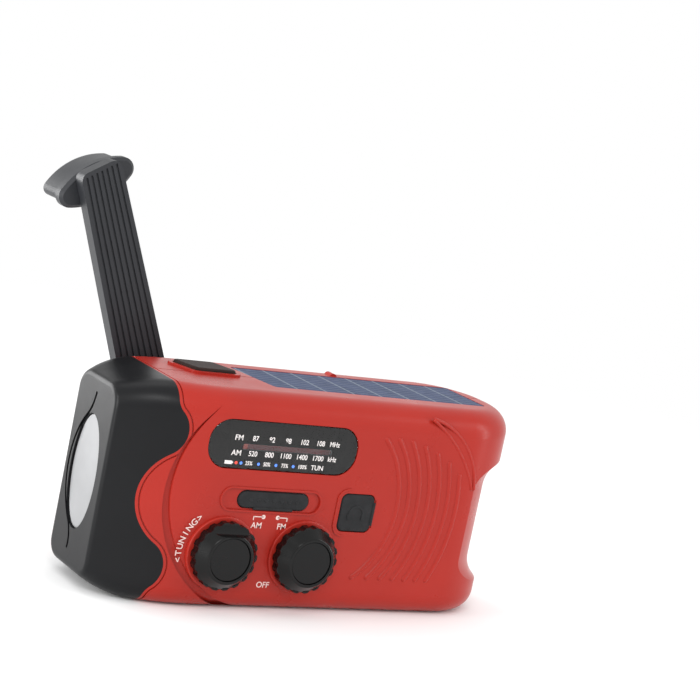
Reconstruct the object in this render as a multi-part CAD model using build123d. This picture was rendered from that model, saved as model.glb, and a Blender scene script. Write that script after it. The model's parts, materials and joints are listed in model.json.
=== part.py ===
from build123d import *
import os
from math import acos, asin, cos, degrees, radians, sin, sqrt, tan

# Hand-crank, solar and battery emergency radio with a torch in its head end.
# Frame: origin at the centre of the underside, +X to the tail, -Y the dial side, +Z up.

# ---- overall casing ----
length = 128.0
depth = 44.0
height = 60.0
wall = 2.0
head_face_depth = 24.0      # width of the flat end face at the head
head_taper = 30.0           # the sides narrow towards the head over this length
head_top_run, head_top_drop = 16.0, 3.6
head_base_run, head_base_rise = 14.0, 4.2
tail_corner_r = 20.0
top_edge_r = 7.0
base_edge_r = 6.0
face_edge_r = 1.8
fit = 0.3                   # running gap round parts that move or drop in
seam = 0.4                  # width and depth of the groove along the parting line

# ---- waist scooped out of the tail for the hand ----
waist_r, waist_x, waist_y = 33.0, 29.5, 6.0
waist_low, waist_high, waist_flare = 17.0, 38.0, 10.0

# ---- black head cap ----
head_len = 14.6             # straight stretch of its edge, from the end face
lobe_r, lobe_x = 7.5, 10.7
notch_r, notch_x, notch_z = 14.5, 22.6, 29.4
lobe_blend_r = 4.0
lip_gap, lip_w, lip_depth = 0.7, 0.4, 0.45

# ---- arc groove beside the knobs: a crescent between two circles ----
arc_x, arc_z, arc_r = -16.3, 31.3, 32.95
arc_shift, arc_turn, arc_grow, arc_depth = 2.44, 40.0, 0.12, 0.9

# ---- torch ----
lens_w, lens_h, lens_z, lens_t = 16.2, 31.6, 30.4, 1.6
lens_inset = 0.6
brow_gap, brow_w = 1.5, 0.9
led_pitch, led_r = 19.0, 2.5
bowl_r, bowl_t, led_gap = 6.2, 4.2, 0.25
reflector_t, torch_board_t = 5.0, 1.2

# ---- dial window ----
win_x, win_z, win_w, win_h, win_r = -17.0, 46.2, 46.0, 13.5, 6.0
win_t, plate_t, ledge = 1.0, 0.8, 1.0
slot_len, slot_h, slot_x, slot_z = 26.5, 1.6, -15.6, 45.5

# ---- knobs ----
tune_x, vol_x, knob_z = -30.4, -5.3, 16.1
knob_r, knob_h, cap_r = 9.4, 5.2, 6.0
skirt_h, top_rim, scoop_r, scoop_depth = 2.6, 0.8, 2.8, 1.3
boss_r, boss_h = 10.3, 0.8
shaft_r, bearing_gap, shaft_in = 3.0, 0.05, 3.2
knob_scallops, scallop_r, scallop_out = 18, 1.35, 0.9
capacitor_w, capacitor_t, pot_w, pot_t = 16.0, 5.0, 15.0, 5.4
control_gap = 1.2           # from the end of each shaft to the board
drum_r, drum_t = 8.0, 2.4

# ---- dial cord: its upper run's height, half its thickness, and the posts it runs round ----
cord_z, cord_half, post_r = 42.75, 0.3, 1.2
posts = [(-41.0, cord_z - 1.5), (4.0, cord_z - 1.5), (3.4, 11.5)]

# ---- socket covers ----
pill_x, pill_z, pill_w, pill_h = -17.2, 31.3, 21.8, 4.6
tray_x, tray_w, tray_h, tray_depth = -17.9, 31.5, 6.9, 0.35
cover_gap = 0.25            # between a socket cover and its hole
bead_w, bead_proud = 0.5, 0.3
flap_hinge_r = 0.4          # bead along the edge each cover opens about
cover_t, plug_t = 1.5, 0.9
usb_x, usb_w, usb_h = -13.2, 13.1, 5.4
micro_x, micro_w, micro_h = -24.4, 7.6, 3.0
socket_skin, socket_len = 0.4, 9.3
jack_len, jack_r, jack_bore_r = 9.6, 2.9, 1.75
grip_dots, dot_pitch = 7, 2.4
square_x, square_z, square_w, square_r = 9.5, 29.25, 10.5, 1.8
square_lip = 1.6            # from the square cover out to its raised lip

# ---- tail ribs and crescent ----
rib_x, rib_z, rib_r0, rib_pitch, ribs = -4.2, 31.8, 26.7, 3.3, 7
rib_r, rib_proud = 0.9, 0.42
rib_top_angle, rib_angle_step, rib_drop = 45.0, 5.4, 21.0
moon_arcs = [(24.6, 35.2, 22.8, 8.0, 78.0), (9.2, 21.8, 40.6, 24.0, 60.5)]     # x, z, radius, angles
moon_r, moon_proud = 0.5, 0.25

# ---- solar panel, lamp button ----
sun_x0, sun_x1, sun_y0, sun_y1, sun_slant, sun_depth = -20.0, 54.0, -9.8, 11.6, 3.5, 1.8
cell_t = 1.0
button_x, button_y, button_w, button_d = -31.4, 4.5, 13.0, 10.0
button_proud, button_skew, button_travel = 1.4, 3.5, 1.0
stem_len, stem_r, switch_w, switch_t = 6.2, 2.0, 6.0, 2.9

# ---- boards ----
board_y, board_t = -10.6, 1.6
board_x0, board_x1, board_z0, board_z1 = -47.0, 18.0, 6.0, 42.4

# ---- power ----
cell_r, cell_len, cell_x, cell_z = 7.1, 50.0, 17.0, 10.4
door_x0, door_x1, door_half, door_t = -14.0, 48.0, 9.5, 1.2
door_screw_in = 2.2
door_gap, door_seat = 0.1, 1.5
clip_t, clip_half = 0.5, 4.5
speaker_x, speaker_z, speaker_r, speaker_t = 20.0, 29.0, 15.0, 5.6
magnet_r, magnet_t = 8.0, 4.0
grille_r, grille_pitch, grille_slot, grille_side = 11.5, 3.4, 1.5, 3
ferrite_x0, ferrite_x1, ferrite_z, ferrite_r = -12.0, 52.0, 50.0, 4.0
coil_in, coil_len, coil_t = 18.0, 24.0, 0.8

# ---- crank ----
crank_x, crank_z = -30.0, 30.0
crank_lean = 23.5           # tilt of the opened-out arm from upright, towards the head
arm_len, arm_w0, arm_w1, arm_t = 86.2, 15.0, 12.2, 4.5
arm_tip_slant = 9.0
arm_grooves, groove_half, groove_depth = 7, 0.3, 0.45
arm_gap = 0.5               # between the folded arm and the back
grip_at, grip_w, grip_h, grip_len, grip_tilt = 80.7, 25.0, 10.6, 15.6, 34.0
grip_end_r = 3.2
axle_skin = 1.2             # arm left in front of the blind hole for the grip's axle
knuckle_w, ear_t, ear_r, hinge_pin_r = 9.4, 2.5, 2.7, 1.0
hub_r, hub_t = 10.0, 2.0
crank_shaft_r = 3.0

# ---- gears ----
tooth_module, pressure_angle, backlash = 0.6, 25.0, 0.12
crank_teeth, step_teeth, pinion_teeth = 50, 40, 12
step_angle, rotor_angle = 225.0, 75.0
crank_gear_y, step_gear_y, gear_t = 11.0, 7.2, 2.4
rotor_case_r, rotor_case_y0, rotor_case_y1 = 11.0, -6.6, 5.2
far_plate_y0, far_plate_y1 = 14.4, 15.6

# ---- aerial ----
aerial_x, aerial_y, aerial_z = 54.0, 19.2, 51.4
aerial_r1, aerial_r2, aerial_r3 = 2.3, 1.75, 1.25
aerial_len = 94.0
aerial_pin_r = 0.9
channel_y, channel_z = 16.4, 46.6

# ---- case screws and their posts ----
screw_r, screw_hole_r, screw_head_r, screw_head_t, screw_sunk = 1.0, 1.15, 2.0, 1.3, 3.0
front_post_r, rear_post_r, post_clear = 2.6, 2.9, 3.3
board_head_r, board_head_t, board_screw_len = 1.9, 1.1, 4.0

front, back = -depth / 2, depth / 2
head, tail = -length / 2, length / 2
arm_y = back + arm_gap + arm_t / 2
low = (Align.CENTER, Align.CENTER, Align.MIN)


def box(x0, x1, y0, y1, z0, z1):
    return Pos((x0 + x1) / 2, (y0 + y1) / 2, (z0 + z1) / 2) * Box(x1 - x0, y1 - y0, z1 - z0)


def rod_x(x0, x1, y, z, r):
    return Pos(x0, y, z) * Rot(0, 90, 0) * Cylinder(r, x1 - x0, align=low)


def rod_y(x, y0, y1, z, r):
    return Pos(x, y0, z) * Rot(-90, 0, 0) * Cylinder(r, y1 - y0, align=low)


def rod_z(x, y, z0, z1, r):
    return Pos(x, y, z0) * Cylinder(r, z1 - z0, align=low)


def ring_y(x, y0, y1, z, r_out, r_in):
    return rod_y(x, y0, y1, z, r_out) - rod_y(x, y0 - 1, y1 + 1, z, r_in)


def along_y(sketch, y0, y1):
    """Extrude a sketch drawn in X and Z from y0 to y1."""
    return Pos(0, y1, 0) * extrude(Plane.XZ * sketch, y1 - y0)


def at(x, z, sketch):
    return Pos(x, z) * sketch


# ---------------------------------------------------------------- casing

def casing_plan():
    half, face_half = depth / 2, head_face_depth / 2
    shoulder, corner = head + head_taper, tail - tail_corner_r
    edges = [
        Line((head, 0), (head, face_half)),
        TangentArc((shoulder, half), (head, face_half), tangent=(-1, 0)),
        Line((shoulder, half), (corner, half)),
        TangentArc((corner, half), (tail, half - tail_corner_r), tangent=(1, 0)),
        Line((tail, half - tail_corner_r), (tail, 0)),
        Line((tail, 0), (head, 0)),
    ]
    upper = make_face(edges)
    return upper + mirror(upper, Plane.XZ)


def casing_side():
    top_x, base_x = head + head_top_run, head + head_base_run
    top_z, base_z = height - head_top_drop, head_base_rise
    return make_face([
        Line((top_x, height), (tail, height)),
        Line((tail, height), (tail, 0)),
        Line((tail, 0), (base_x, 0)),
        TangentArc((base_x, 0), (head, base_z), tangent=(-1, 0)),
        Line((head, base_z), (head, top_z)),
        TangentArc((top_x, height), (head, top_z), tangent=(-1, 0)),
    ])


def rim_edges(body, upward, inset):
    """Edges where the side walls meet the top (or the base), without the head's end face."""
    def slope(face):
        return face.normal_at(face.center()).Z * (1 if upward else -1)
    caps = [f for f in body.faces() if slope(f) > 0.7]
    sides = [f for f in body.faces() if abs(slope(f)) < 0.1 and f.center().X > head + inset + 0.1]
    side_edges = [e for f in sides for e in f.edges()]
    return [e for f in caps for e in f.edges() if any(e.is_same(s) for s in side_edges)]


def waist_cut(inset):
    r, z0, z1 = waist_r - inset, waist_low - inset, waist_high + inset
    flare = waist_flare
    edges = [
        Line((0, z0 - flare), (r + flare, z0 - flare)),
        TangentArc((r, z0), (r + flare, z0 - flare), tangent=(0, -1)),
        Line((r, z0), (r, z1)),
        TangentArc((r, z1), (r + flare, z1 + flare), tangent=(0, 1)),
        Line((r + flare, z1 + flare), (0, z1 + flare)),
        Line((0, z1 + flare), (0, z0 - flare)),
    ]
    core = Pos(waist_x, waist_y, 0) * revolve(Plane.XZ * make_face(edges), Axis.Z)
    band = box(tail - 24, tail + 9, -depth, depth, z0 - flare, z1 + flare)
    return band - core


def casing(inset=0.0):
    plan, side = casing_plan(), casing_side()
    if inset:
        plan = offset(plan, -inset, kind=Kind.INTERSECTION)
        side = offset(side, -inset, kind=Kind.INTERSECTION)
    body = extrude(plan, height) & along_y(side, front, back)
    body = fillet(rim_edges(body, True, inset), top_edge_r - inset)
    body = fillet(rim_edges(body, False, inset), base_edge_r - inset)
    if not inset:
        face = body.faces().sort_by(Axis.X)[0]
        body = fillet(face.edges(), face_edge_r)
    return body - waist_cut(inset)


def head_outline(grow=0.0):
    """Outline of the black head cap, seen from the front."""
    straight = box_sketch(head - 5, head + head_len, -5, height + 5)
    notch = at(head + notch_x, notch_z, Circle(notch_r))
    outline = straight - notch
    lobe_rise = sqrt((notch_r + lobe_r) ** 2 - (notch_x - lobe_x) ** 2)
    for z in (notch_z - lobe_rise, notch_z + lobe_rise):
        outline += at(head + lobe_x, z, Circle(lobe_r))
    edge = [v for v in outline.vertices() if abs(v.X - head - head_len) < 0.01]
    blends = [v for v in edge if abs(v.Y - notch_z) > lobe_rise and -1 < v.Y < height + 1]
    outline = fillet(blends, lobe_blend_r)
    return offset(outline, grow) if grow else outline


def box_sketch(x0, x1, z0, z1):
    return at((x0 + x1) / 2, (z0 + z1) / 2, Rectangle(x1 - x0, z1 - z0))


def head_volume(grow=0.0):
    return along_y(head_outline(grow), -depth, depth)


def aerial_channel(margin=0.0):
    return box(head - 5, tail + 5, channel_y - margin, depth, channel_z - margin, height + 5)


def grip_pocket(margin=0.0):
    x, half_w, half_h = crank_x + grip_at, grip_h / 2 + 1.0, grip_w / 2 + 1.2
    floor = back - arm_gap - grip_len - 2.4
    return box(x - half_w - margin, min(x + half_w, tail - 6) + margin, floor - margin, depth,
               crank_z - half_h - margin, crank_z + half_h + margin)


def hub_pocket(margin=0.0):
    return rod_y(crank_x, back - hub_t - fit - margin, depth, crank_z, hub_r + fit + margin)


def walls():
    """The whole casing as one hollow skin, with the pockets that are let into its back."""
    outer, inner = casing(), casing(wall)
    inner = inner - aerial_channel(wall) - grip_pocket(1.4) - hub_pocket(1.6)
    return outer - inner - aerial_channel() - grip_pocket() - hub_pocket()


def skin(thickness):
    return casing() - casing(thickness)


# ---------------------------------------------------------------- front shell

def window_face(grow=0.0):
    return at(win_x, win_z, RectangleRounded(win_w + 2 * grow, win_h + 2 * grow, win_r + grow))


def pill_face(grow=0.0):
    return at(pill_x, pill_z, SlotOverall(pill_w + 2 * grow, pill_h + 2 * grow))


def tray_face(grow=0.0):
    return at(tray_x, pill_z, SlotOverall(tray_w + 2 * grow, tray_h + 2 * grow))


def square_face(grow=0.0):
    return at(square_x, square_z, RectangleRounded(square_w + 2 * grow, square_w + 2 * grow,
                                                   square_r + grow))


def window_cut():
    pocket = front + 0.2 + win_t + plate_t
    seat = along_y(window_face(0.05), front - 1, pocket)
    through = along_y(window_face(-ledge), front, front + 5)
    return seat + through


def window_frame():
    pocket = front + 0.2 + win_t + plate_t
    return along_y(window_face(1.6), front + wall - 0.5, pocket + 1.2)


def knob_boss(x):
    boss = rod_y(x, front - boss_h, front + 1, knob_z, boss_r)
    rim = boss.edges().filter_by(GeomType.CIRCLE).sort_by(Axis.Y)[0]
    sleeve = rod_y(x, front + 1, front + wall + 0.4, knob_z, shaft_r + 1.4)
    return fillet(rim, 0.35) + sleeve


def sweep_arc(x, z, r, y, start, end, thick):
    """A round bar along an arc in an XZ plane, with round ends, angles from +X towards +Z."""
    section = Plane((x + r, y, z), x_dir=(1, 0, 0), z_dir=(0, 0, 1)) * Circle(thick)
    axis = Axis((x, y, z), (0, -1, 0))
    bar = revolve(section, axis, end - start)
    bar = bar.rotate(axis, start)
    for angle in (start, end):
        bar += Pos(x + r * cos(radians(angle)), y, z + r * sin(radians(angle))) * Sphere(thick)
    return bar


def raised_bars():
    """The tail's curved grip ribs, and the two thin lines of the crescent above them."""
    bars = []
    for i in range(ribs):
        r = rib_r0 + i * rib_pitch
        start, end = -degrees(asin(rib_drop / r)), rib_top_angle - rib_angle_step * i
        bars.append(sweep_arc(rib_x, rib_z, r, front + rib_r - rib_proud, start, end, rib_r))
    for x, z, r, start, end in moon_arcs:
        bars.append(sweep_arc(x, z, r, front + moon_r - moon_proud, start, end, moon_r))
    return bars


def arc_groove():
    """A groove that starts as a point under the top edge and widens down to the lower edge."""
    inner_x = arc_x + arc_shift * cos(radians(arc_turn))
    inner_z = arc_z + arc_shift * sin(radians(arc_turn))
    crescent = at(arc_x, arc_z, Circle(arc_r)) - at(inner_x, inner_z, Circle(arc_r + arc_grow))
    return crescent & box_sketch(head, arc_x, fit, height)


def surface_grooves():
    """Lines let into the red skin: round the edge of the head cap, and the arc by the knobs."""
    edge = (head_volume(lip_gap + lip_w) - head_volume(lip_gap)) & skin(lip_depth)
    arc = along_y(arc_groove(), front - 1, front + base_edge_r) & skin(arc_depth)
    return edge + arc


def seam_groove():
    return box(head, tail, -seam / 2, seam / 2, -1, height + 1) & skin(seam)


def sun_face(grow=0.0):
    """The solar panel's outline, seen from above, slanted at its head end."""
    outline = Polygon((sun_x0 + sun_slant, sun_y0), (sun_x1, sun_y0), (sun_x1, sun_y1),
                      (sun_x0, sun_y1), align=None)
    outline = fillet(outline.vertices(), 1.2)
    return offset(outline, grow) if grow else outline


def button_face(grow=0.0):
    """The lamp button's outline, seen from above, a leaning four-sided shape."""
    half_w, half_d, lean = button_w / 2, button_d / 2, button_skew / 2
    outline = Polygon((button_x - half_w + lean, button_y - half_d),
                      (button_x + half_w + lean, button_y - half_d),
                      (button_x + half_w - lean, button_y + half_d),
                      (button_x - half_w - lean, button_y + half_d), align=None)
    outline = fillet(outline.vertices(), 1.4)
    return offset(outline, grow) if grow else outline


def top_cuts():
    sun = Pos(0, 0, height - sun_depth) * extrude(sun_face(0.1), sun_depth + 1)
    button = Pos(0, 0, height - 2 * wall) * extrude(button_face(fit), 2 * wall + 1)
    return sun + button


def top_adds():
    """A tray floor under the solar panel and a raised collar round the lamp button."""
    floor = Pos(0, 0, height - sun_depth - 1.4) * extrude(sun_face(1.4), 1.4 + sun_depth - 0.5)
    collar = extrude(button_face(1.5) - button_face(fit), 1.2)
    return floor, Pos(0, 0, height - 0.6) * collar


def boss_places():
    return [(-19.5, 4.8), (47.5, 7.2), (39.5, 41.0), (0.0, 35.0)]


def front_shell(red):
    shell = red & box(head, tail, front - 5, 0, -5, height + 5)
    for x in (tune_x, vol_x):
        shell += knob_boss(x)
    shell += window_frame()
    shell -= window_cut()
    for x in (tune_x, vol_x):
        shell -= rod_y(x, front - 5, front + 5, knob_z, shaft_r + bearing_gap)
    shell -= along_y(tray_face(-bead_w), front - 1, front + tray_depth)
    shell += along_y(tray_face() - tray_face(-bead_w), front - bead_proud, front + tray_depth)
    shell -= along_y(pill_face(cover_gap), front - 1, front + 5)
    shell += along_y(square_face(1.5) - square_face(cover_gap), front + wall - 0.5, front + wall + 0.6)
    shell -= along_y(square_face(cover_gap), front - 1, front + 5)
    hinge_x, relief_r = square_x + square_w / 2, flap_hinge_r + cover_gap
    shell -= rod_z(hinge_x, front - 0.2, square_z - 4, square_z + 4, relief_r)
    shell += pry_lip()
    for bar in raised_bars():
        shell += bar & box(head, tail, front - 2, front + wall, 0, height)
    for x, z in boss_places():
        shell += rod_y(x, front + wall - 0.6, 0, z, front_post_r) - rod_y(x, -9, 1, z, screw_r)
    for x, z in board_screw_places():
        post = rod_y(x, front, board_y, z, 2.2) & casing(0.8)
        shell += post - rod_y(x, board_y - board_screw_len, board_y, z, screw_r)
    return shell


def pry_lip():
    """A raised lip that curls round the head side of the square cover."""
    ring = square_face(square_lip) - square_face(square_lip - bead_w)
    left = square_x - square_w / 2
    return along_y(ring & box_sketch(left - 5, left + 2.2, 0, height), front - bead_proud, front + 1)


def rear_shell(red):
    shell = red & box(head, tail, 0, back + 5, -5, height + 5)
    shell -= rod_y(crank_x, 0, depth, crank_z, crank_shaft_r + 1.5)
    shell += charge_lamp()
    for x, z in boss_places():
        post = rod_y(x, 0, back - 0.1, z, rear_post_r) & casing()
        shell += post - aerial_channel() - rod_y(x, -5, back + 5, z, screw_hole_r)
        shell -= rod_y(x, back - screw_sunk, back + 1, z, screw_head_r + 0.2)
        shell -= rod_y(x, -5, back + 1, z, screw_hole_r)
    shell -= grille()
    seat_y, seat_r = back - wall, speaker_r + 0.2
    return shell + ring_y(speaker_x, seat_y - 2, seat_y + 0.5, speaker_z, seat_r + 1.2, seat_r)


def charge_lamp():
    """A small raised dome on the top, between the solar panel and the aerial's channel."""
    dome = rod_y(15, 12.6, 15.8, height - 0.6, 1.3)
    return dome & box(0, 30, sun_y1 + 0.4, channel_y, height - wall, height + 1)


def grille():
    """The slots in front of the speaker, shorter towards the top and bottom of the circle."""
    slots = []
    for i in range(-grille_side, grille_side + 1):
        rise = grille_pitch * i
        slot = SlotOverall(2 * sqrt(grille_r ** 2 - rise ** 2), grille_slot)
        slots.append(along_y(at(speaker_x, speaker_z + rise, slot), back - 2 * wall, back + 1))
    return slots


def casings():
    red_and_black = walls()
    cap = red_and_black & head_volume()
    red = red_and_black - head_volume()
    floor, collar = top_adds()
    red += floor & casing(0.5)
    red += collar
    red -= top_cuts()
    red -= surface_grooves()
    door = box(door_x0, door_x1, -door_half, door_half, 0, door_t)
    out, well_half = door_half + door_seat, door_half - door_seat
    seat = box(door_x0 - door_seat, door_x1 + door_seat, -out, out, door_t, door_t + 1.2)
    well = box(door_x0 + door_seat, door_x1 - 4, -well_half, well_half, -1, height / 4)
    opening = door_half + door_gap
    red = red + seat - rod_z(door_x1 - door_screw_in, 0, -1, 9, screw_r)
    red = red - box(door_x0 - door_gap, door_x1 + door_gap, -opening, opening, -1, door_t) - well
    red -= seam_groove()
    cap = cap - lens_pocket()
    cap = cap + lens_collar()
    return cap, front_shell(red), rear_shell(red), door


# ---------------------------------------------------------------- torch

def lens_face(grow=0.0):
    return Ellipse(lens_w / 2 + grow, lens_h / 2 + grow)


def along_x(sketch, x0, x1):
    """Extrude a sketch drawn in Y and Z from x0 to x1, centred on the torch."""
    return Pos(x0, 0, lens_z) * extrude(Plane.YZ * sketch, x1 - x0)


def lens_pocket():
    seat = along_x(lens_face(0.1), head - 1, head + wall)
    return seat + along_x(brow(), head - 1, head + 0.6)


def brow():
    """A fine groove that hugs the lens on its rear side and runs out towards both ends."""
    reach, bend, side = lens_h / 2 + 6.0, lens_h / 2 - 1.2, lens_w / 2 + brow_gap
    hug = ThreePointArc((3.4, -bend), (side, 0), (3.6, bend))
    upper = TangentArc(hug @ 1, (0.2, reach), tangent=hug % 1)
    lower = TangentArc(hug @ 0, (1.2, -reach), tangent=(hug % 0) * -1)
    return trace([lower, hug, upper], brow_w)


def lens_collar():
    """A short collar inside the end face that holds the reflector."""
    return along_x(lens_face(1.6) - lens_face(0.1), head + wall - 0.5, head + wall + 1.6)


def torch():
    x0 = head + lens_inset
    lens = along_x(lens_face(), x0, x0 + lens_t)
    lens = fillet(lens.edges().sort_by(Axis.X)[0], 0.5)
    body = along_x(lens_face(-0.1), x0 + lens_t, x0 + lens_t + reflector_t)
    bore_r = led_r + led_gap
    bowls = []
    for side in (-1, 1):
        z = lens_z + side * led_pitch / 2
        cone = Pos(x0 + lens_t, 0, z) * Rot(0, 90, 0) * Cone(bowl_r, bore_r, bowl_t, align=low)
        bore = rod_x(x0 + lens_t + bowl_t - 0.2, x0 + lens_t + reflector_t + 1, 0, z, bore_r)
        bowls.append((cone, bore))
    middle = along_x(Ellipse(5.6, 2.6), x0 + lens_t - 1, x0 + lens_t + 1.0)
    reflector = body - middle
    for cone, bore in bowls:
        reflector = reflector - cone - bore
    board_x = x0 + lens_t + reflector_t + 0.4
    board = along_x(RectangleRounded(13, 30, 2), board_x, board_x + torch_board_t)
    leds = []
    for side in (-1, 1):
        z = lens_z + side * led_pitch / 2
        led = rod_x(board_x - 2.6, board_x, 0, z, led_r) + Pos(board_x - 2.6, 0, z) * Sphere(led_r)
        leds.append(led)
    return lens, reflector, Compound(children=leds), board


# ---------------------------------------------------------------- dial

def dial():
    y0 = front + 0.2
    window = along_y(window_face(), y0, y0 + win_t)
    window = fillet(window.edges().filter_by(lambda e: abs(e.center().Y - y0) < 0.01), 0.35)
    plate_y = y0 + win_t
    plate = along_y(window_face(), plate_y, plate_y + plate_t)
    plate -= along_y(at(slot_x, slot_z, SlotOverall(slot_len + 1.6, slot_h)), plate_y - 1, plate_y + 3)
    backing_y = plate_y + plate_t + 1.0
    strip = at(slot_x, slot_z + 0.4, RectangleRounded(slot_len + 5, 3.4, 0.8))
    backing = along_y(strip, backing_y, backing_y + 0.3)
    return window, plate, backing


def dial_levels():
    """Y of the needle, the backing strip and the dial cord, from the window inwards."""
    plate_back = front + 0.2 + win_t + plate_t
    return plate_back, plate_back + 0.2, plate_back + 1.0, plate_back + 1.6


def cord_hull(extra):
    circles = [at(tune_x, knob_z, Circle(drum_r - 0.6 + extra))]
    circles += [at(x, z, Circle(post_r + extra)) for x, z in posts]
    return make_hull([e for c in circles for e in c.edges()])


def dial_drive():
    """The dial cord round its drum and posts, and the needle clipped to its upper run."""
    plate_back, needle_y, backing_y, cord_y = dial_levels()
    cord = along_y(cord_hull(fit + 2 * cord_half) - cord_hull(fit), cord_y, cord_y + 2 * cord_half)
    x = slot_x - slot_len / 2 + 0.8
    blade = box(x - 0.6, x + 0.6, needle_y, needle_y + 0.5, cord_z - 0.7, slot_z + 1.2)
    top = cord_top()
    clip = box(x - 2.5, x + 2.5, needle_y, cord_y + 2 * cord_half + 0.8, top - 1.25, top + 0.65)
    clip -= box(x - 5, x + 5, cord_y - 0.25, cord_y + 2 * cord_half + 0.25, top - 0.85, top + 0.25)
    return cord, blade + clip


def cord_top():
    return posts[0][1] + post_r + fit + 2 * cord_half


def cord_posts():
    _, _, _, cord_y = dial_levels()
    pins = [rod_y(x, cord_y - 0.3, board_y, z, post_r) for x, z in posts]
    return Compound(children=pins)


# ---------------------------------------------------------------- knobs and controls

def knob(x, scoop):
    """A knob with a scalloped skirt, a shoulder that narrows to its top and an inset cap."""
    base_y, top_y = front - boss_h - fit, front - boss_h - fit - knob_h
    top_r = cap_r + top_rim
    skirt = rod_y(x, base_y - skirt_h, base_y, knob_z, knob_r)
    for i in range(knob_scallops):
        angle = radians(360 / knob_scallops * (i + 0.5))
        flute_x = x + (knob_r + scallop_out) * cos(angle)
        flute_z = knob_z + (knob_r + scallop_out) * sin(angle)
        skirt -= rod_y(flute_x, base_y - 5, base_y + 1, flute_z, scallop_r)
    shoulder_r, rise = knob_r - 0.5, knob_h - skirt_h
    cone = Pos(x, base_y - skirt_h, knob_z) * Rot(90, 0, 0) * Cone(shoulder_r, top_r, rise, align=low)
    rim = cone.edges().filter_by(GeomType.CIRCLE).sort_by(Axis.Y)[0]
    body = skirt + fillet(rim, 0.45)
    body -= rod_y(x, top_y - 1, top_y + 1.0, knob_z, cap_r + 0.05)
    body -= rod_y(x, base_y - shaft_in, base_y + 1, knob_z, shaft_r)
    if scoop:
        slope = sqrt(rise ** 2 + (shoulder_r - top_r) ** 2)
        out = (scoop_r - scoop_depth) / slope
        z = knob_z + (shoulder_r + top_r) / 2 + out * rise
        y = top_y + rise / 2 - out * (shoulder_r - top_r)
        body -= rod_x(x - knob_r, x + knob_r, y, z, scoop_r)
    cap = rod_y(x, top_y + 0.25, top_y + 1.0, knob_z, cap_r)
    edge = cap.edges().filter_by(GeomType.CIRCLE).sort_by(Axis.Y)[0]
    return body, fillet(edge, 0.3)


def control_shaft(x):
    return rod_y(x, front - boss_h - fit - shaft_in, board_y - control_gap, knob_z, shaft_r)


def tuning_drum():
    _, _, _, cord_y = dial_levels()
    mid = cord_y + cord_half
    drum = ring_y(tune_x, mid - drum_t / 2, mid + drum_t / 2, knob_z, drum_r + 1.0, shaft_r)
    groove = ring_y(tune_x, cord_y - fit, cord_y + 2 * cord_half + fit, knob_z, drum_r + 2, drum_r - 0.6)
    return drum - groove


def bored(block, x, y0):
    """A control's block with a neck on its front, bored for its shaft."""
    neck = rod_y(x, y0 - 0.8, y0, knob_z, shaft_r + 1.2)
    return block + neck - rod_y(x, y0 - 2, board_y - 1.0, knob_z, shaft_r + bearing_gap)


def tuning_capacitor():
    y0 = board_y - capacitor_t
    block = Pos(tune_x, y0 + capacitor_t / 2, knob_z) * Box(capacitor_w, capacitor_t, capacitor_w)
    return bored(fillet(block.edges().filter_by(Axis.Y), 1.5), tune_x, y0)


def volume_pot():
    y0 = board_y - pot_t
    return bored(rod_y(vol_x, y0, board_y, knob_z, pot_w / 2), vol_x, y0)


# ---------------------------------------------------------------- sockets

def usb_socket(x, width, high):
    """A metal-skinned socket with its tongue, standing on the board and open to the front."""
    middle = board_y - socket_len / 2
    shell = Pos(x, middle, pill_z) * Box(width, socket_len, high)
    shell = fillet(shell.edges().filter_by(Axis.Y), 0.6)
    cavity = Box(width - 2 * socket_skin, socket_len, high - 2 * socket_skin)
    tongue = Box(width * 0.76, socket_len - 1.2, high * 0.28)
    return shell - Pos(x, middle - 1, pill_z) * cavity + Pos(x, middle + 0.6, pill_z + high * 0.12) * tongue


def earphone_jack():
    y0 = board_y - jack_len
    block = box(square_x - 3.4, square_x + 3.4, y0 + 2, board_y, square_z - 3.6, square_z + 3.6)
    nose = rod_y(square_x, y0, y0 + 3, square_z, jack_r)
    return block + nose - rod_y(square_x, y0 - 1, y0 + 8, square_z, jack_bore_r)


def pill_cover():
    y0 = front - 0.2
    cover = along_y(pill_face(), y0, y0 + cover_t)
    cover = fillet(cover.edges().filter_by(lambda e: abs(e.center().Y - y0) < 0.01), 0.45)
    for x, w, h in ((usb_x, 9.0, 2.4), (micro_x, 4.0, 1.6)):
        cover += Pos(x, y0 + cover_t + plug_t / 2 - 0.1, pill_z) * Box(w, plug_t + 0.2, h)
    for i in range(grip_dots):
        x = pill_x + dot_pitch * (i - (grip_dots - 1) / 2)
        cover += Pos(x, y0 + 0.1, pill_z) * Rot(90, 0, 0) * Cone(0.7, 0.4, 0.3, align=low)
    return cover + rod_x(pill_x - 6, pill_x + 6, y0, pill_z - pill_h / 2, flap_hinge_r)


def square_cover():
    y0 = front - 0.2
    cover = along_y(square_face(), y0, y0 + cover_t)
    cover = fillet(cover.edges().filter_by(lambda e: abs(e.center().Y - y0) < 0.01), 0.5)
    cover += rod_y(square_x, y0 + cover_t - 0.1, y0 + cover_t + plug_t, square_z, 1.2)
    band = Ellipse(2.6, 2.6) - Ellipse(2.0, 2.0)
    arch = band & (Pos(0, 1.5) * Rectangle(6, 3))
    cups = SlotOverall(1.9, 1.1, rotation=90)
    marks = at(square_x, square_z - 0.4, arch)
    marks += at(square_x - 2.3, square_z - 1.0, cups) + at(square_x + 2.3, square_z - 1.0, cups)
    hinge = rod_z(square_x + square_w / 2, y0, square_z - 3.2, square_z + 3.2, flap_hinge_r)
    return cover + hinge + along_y(marks, y0 - 0.2, y0 + 0.2)


# ---------------------------------------------------------------- top: button and solar panel

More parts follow.
